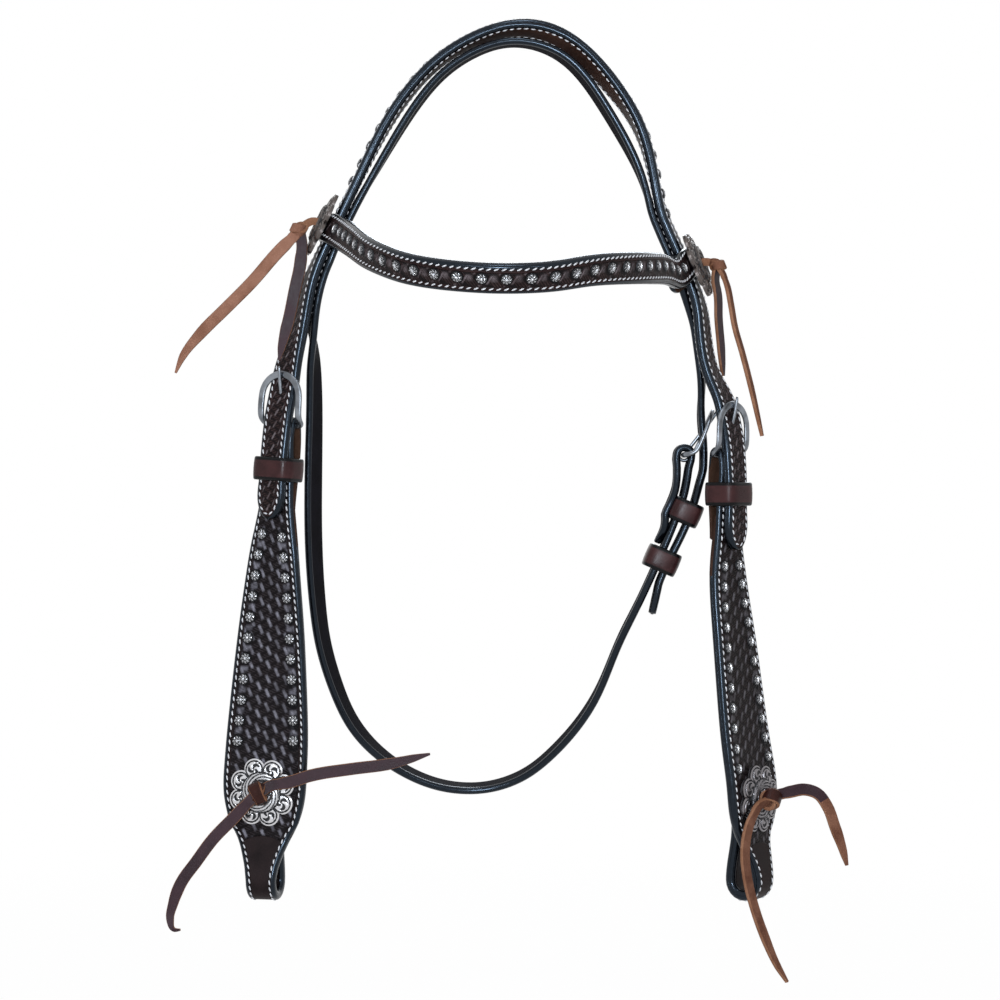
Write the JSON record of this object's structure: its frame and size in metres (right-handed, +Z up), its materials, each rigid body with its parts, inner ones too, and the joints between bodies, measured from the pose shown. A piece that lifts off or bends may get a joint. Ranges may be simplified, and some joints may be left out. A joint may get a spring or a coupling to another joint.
{
  "type": "western headstall",
  "caption": "Browband western headstall with tooled, stitched leather straps, scalloped floral conchos tied by latigo strings, buckled cheeks with bit loops and a buckled throatlatch.",
  "frame": {"origin": "middle of the poll seat: the underside of the throatlatch strap at the top of its arch, where the headstall rests on the horse's poll", "axes": "+Z up towards the crown, -Y forward towards the horse's nose, +X towards the horse's left side"},
  "size_m": [0.3522, 0.2016, 0.5005],
  "materials": {
    "tooled_leather": "basketweave-tooled dark brown leather with a black edge",
    "strap_lining": "smooth brown lining leather",
    "throatlatch_leather": "smooth dark leather with a glossy edge",
    "keeper_leather": "smooth reddish brown leather",
    "latigo": "oiled latigo lace, tan flesh side and red-brown grain side",
    "antiqued_steel": "satin antiqued",
    "antiqued_silver": "engraved and antiqued"
  },
  "bodies": {
    "headstall": {"crown_strap_outer": "tooled_leather", "crown_strap_lining": "strap_lining", "throatlatch_strap": "throatlatch_leather", "browband_outer": "tooled_leather", "browband_lining": "strap_lining", "left_cheek_outer": "tooled_leather", "left_cheek_lining": "strap_lining", "right_cheek_outer": "tooled_leather", "right_cheek_lining": "strap_lining", "left_cheek_buckle_frame": "antiqued_steel", "right_cheek_buckle_frame": "antiqued_steel", "throat_buckle_frame": "antiqued_steel", "throat_keeper_sewn": "keeper_leather", "left_brow_concho": "antiqued_silver", "right_brow_concho": "antiqued_silver", "left_cheek_concho": "antiqued_silver", "right_cheek_concho": "antiqued_silver", "left_brow_tie": "latigo", "right_brow_tie": "latigo", "left_cheek_tie": "latigo", "right_cheek_tie": "latigo", "left_brow_string_long": "latigo", "left_brow_string_short": "latigo", "right_brow_string_long": "latigo", "right_brow_string_short": "latigo", "left_cheek_string_inner": "latigo", "left_cheek_string_outer": "latigo", "right_cheek_string_inner": "latigo", "right_cheek_string_outer": "latigo"},
    "left_tongue": {"left_cheek_buckle_tongue": "antiqued_steel"},
    "right_tongue": {"right_cheek_buckle_tongue": "antiqued_steel"},
    "throat_tongue": {"throat_buckle_tongue": "antiqued_steel"},
    "left_keeper": {"left_cheek_keeper": "keeper_leather"},
    "right_keeper": {"right_cheek_keeper": "keeper_leather"},
    "throat_keeper": {"throat_keeper_sliding": "keeper_leather"}
  },
  "joints": [
    {"name": "left_tongue_hinge", "type": "hinge", "parent": "headstall", "child": "left_tongue", "pos_m": [-0.1188, 0, -0.1971], "axis": [0.8366, -0.5446, -0.0585], "range_deg": [0, 3]},
    {"name": "right_tongue_hinge", "type": "hinge", "parent": "headstall", "child": "right_tongue", "pos_m": [0.11, 0, -0.2127], "axis": [0.6428, 0.766, 0], "range_deg": [0, 3]},
    {"name": "throat_tongue_hinge", "type": "hinge", "parent": "headstall", "child": "throat_tongue", "pos_m": [0.0895, 0.012, -0.2125], "axis": [0, 1, 0], "range_deg": [0, 3]},
    {"name": "left_keeper_slide", "type": "slide", "parent": "headstall", "child": "left_keeper", "axis": [0.0698, 0, 0.9976], "range_m": [-0.0025, 0.0145]},
    {"name": "right_keeper_slide", "type": "slide", "parent": "headstall", "child": "right_keeper", "axis": [0, 0, 1], "range_m": [-0.005, 0.0115]},
    {"name": "throat_keeper_slide", "type": "slide", "parent": "headstall", "child": "throat_keeper", "axis": [0.3987, 0, 0.9171], "range_m": [-0.004, 0.0015]}
  ]
}
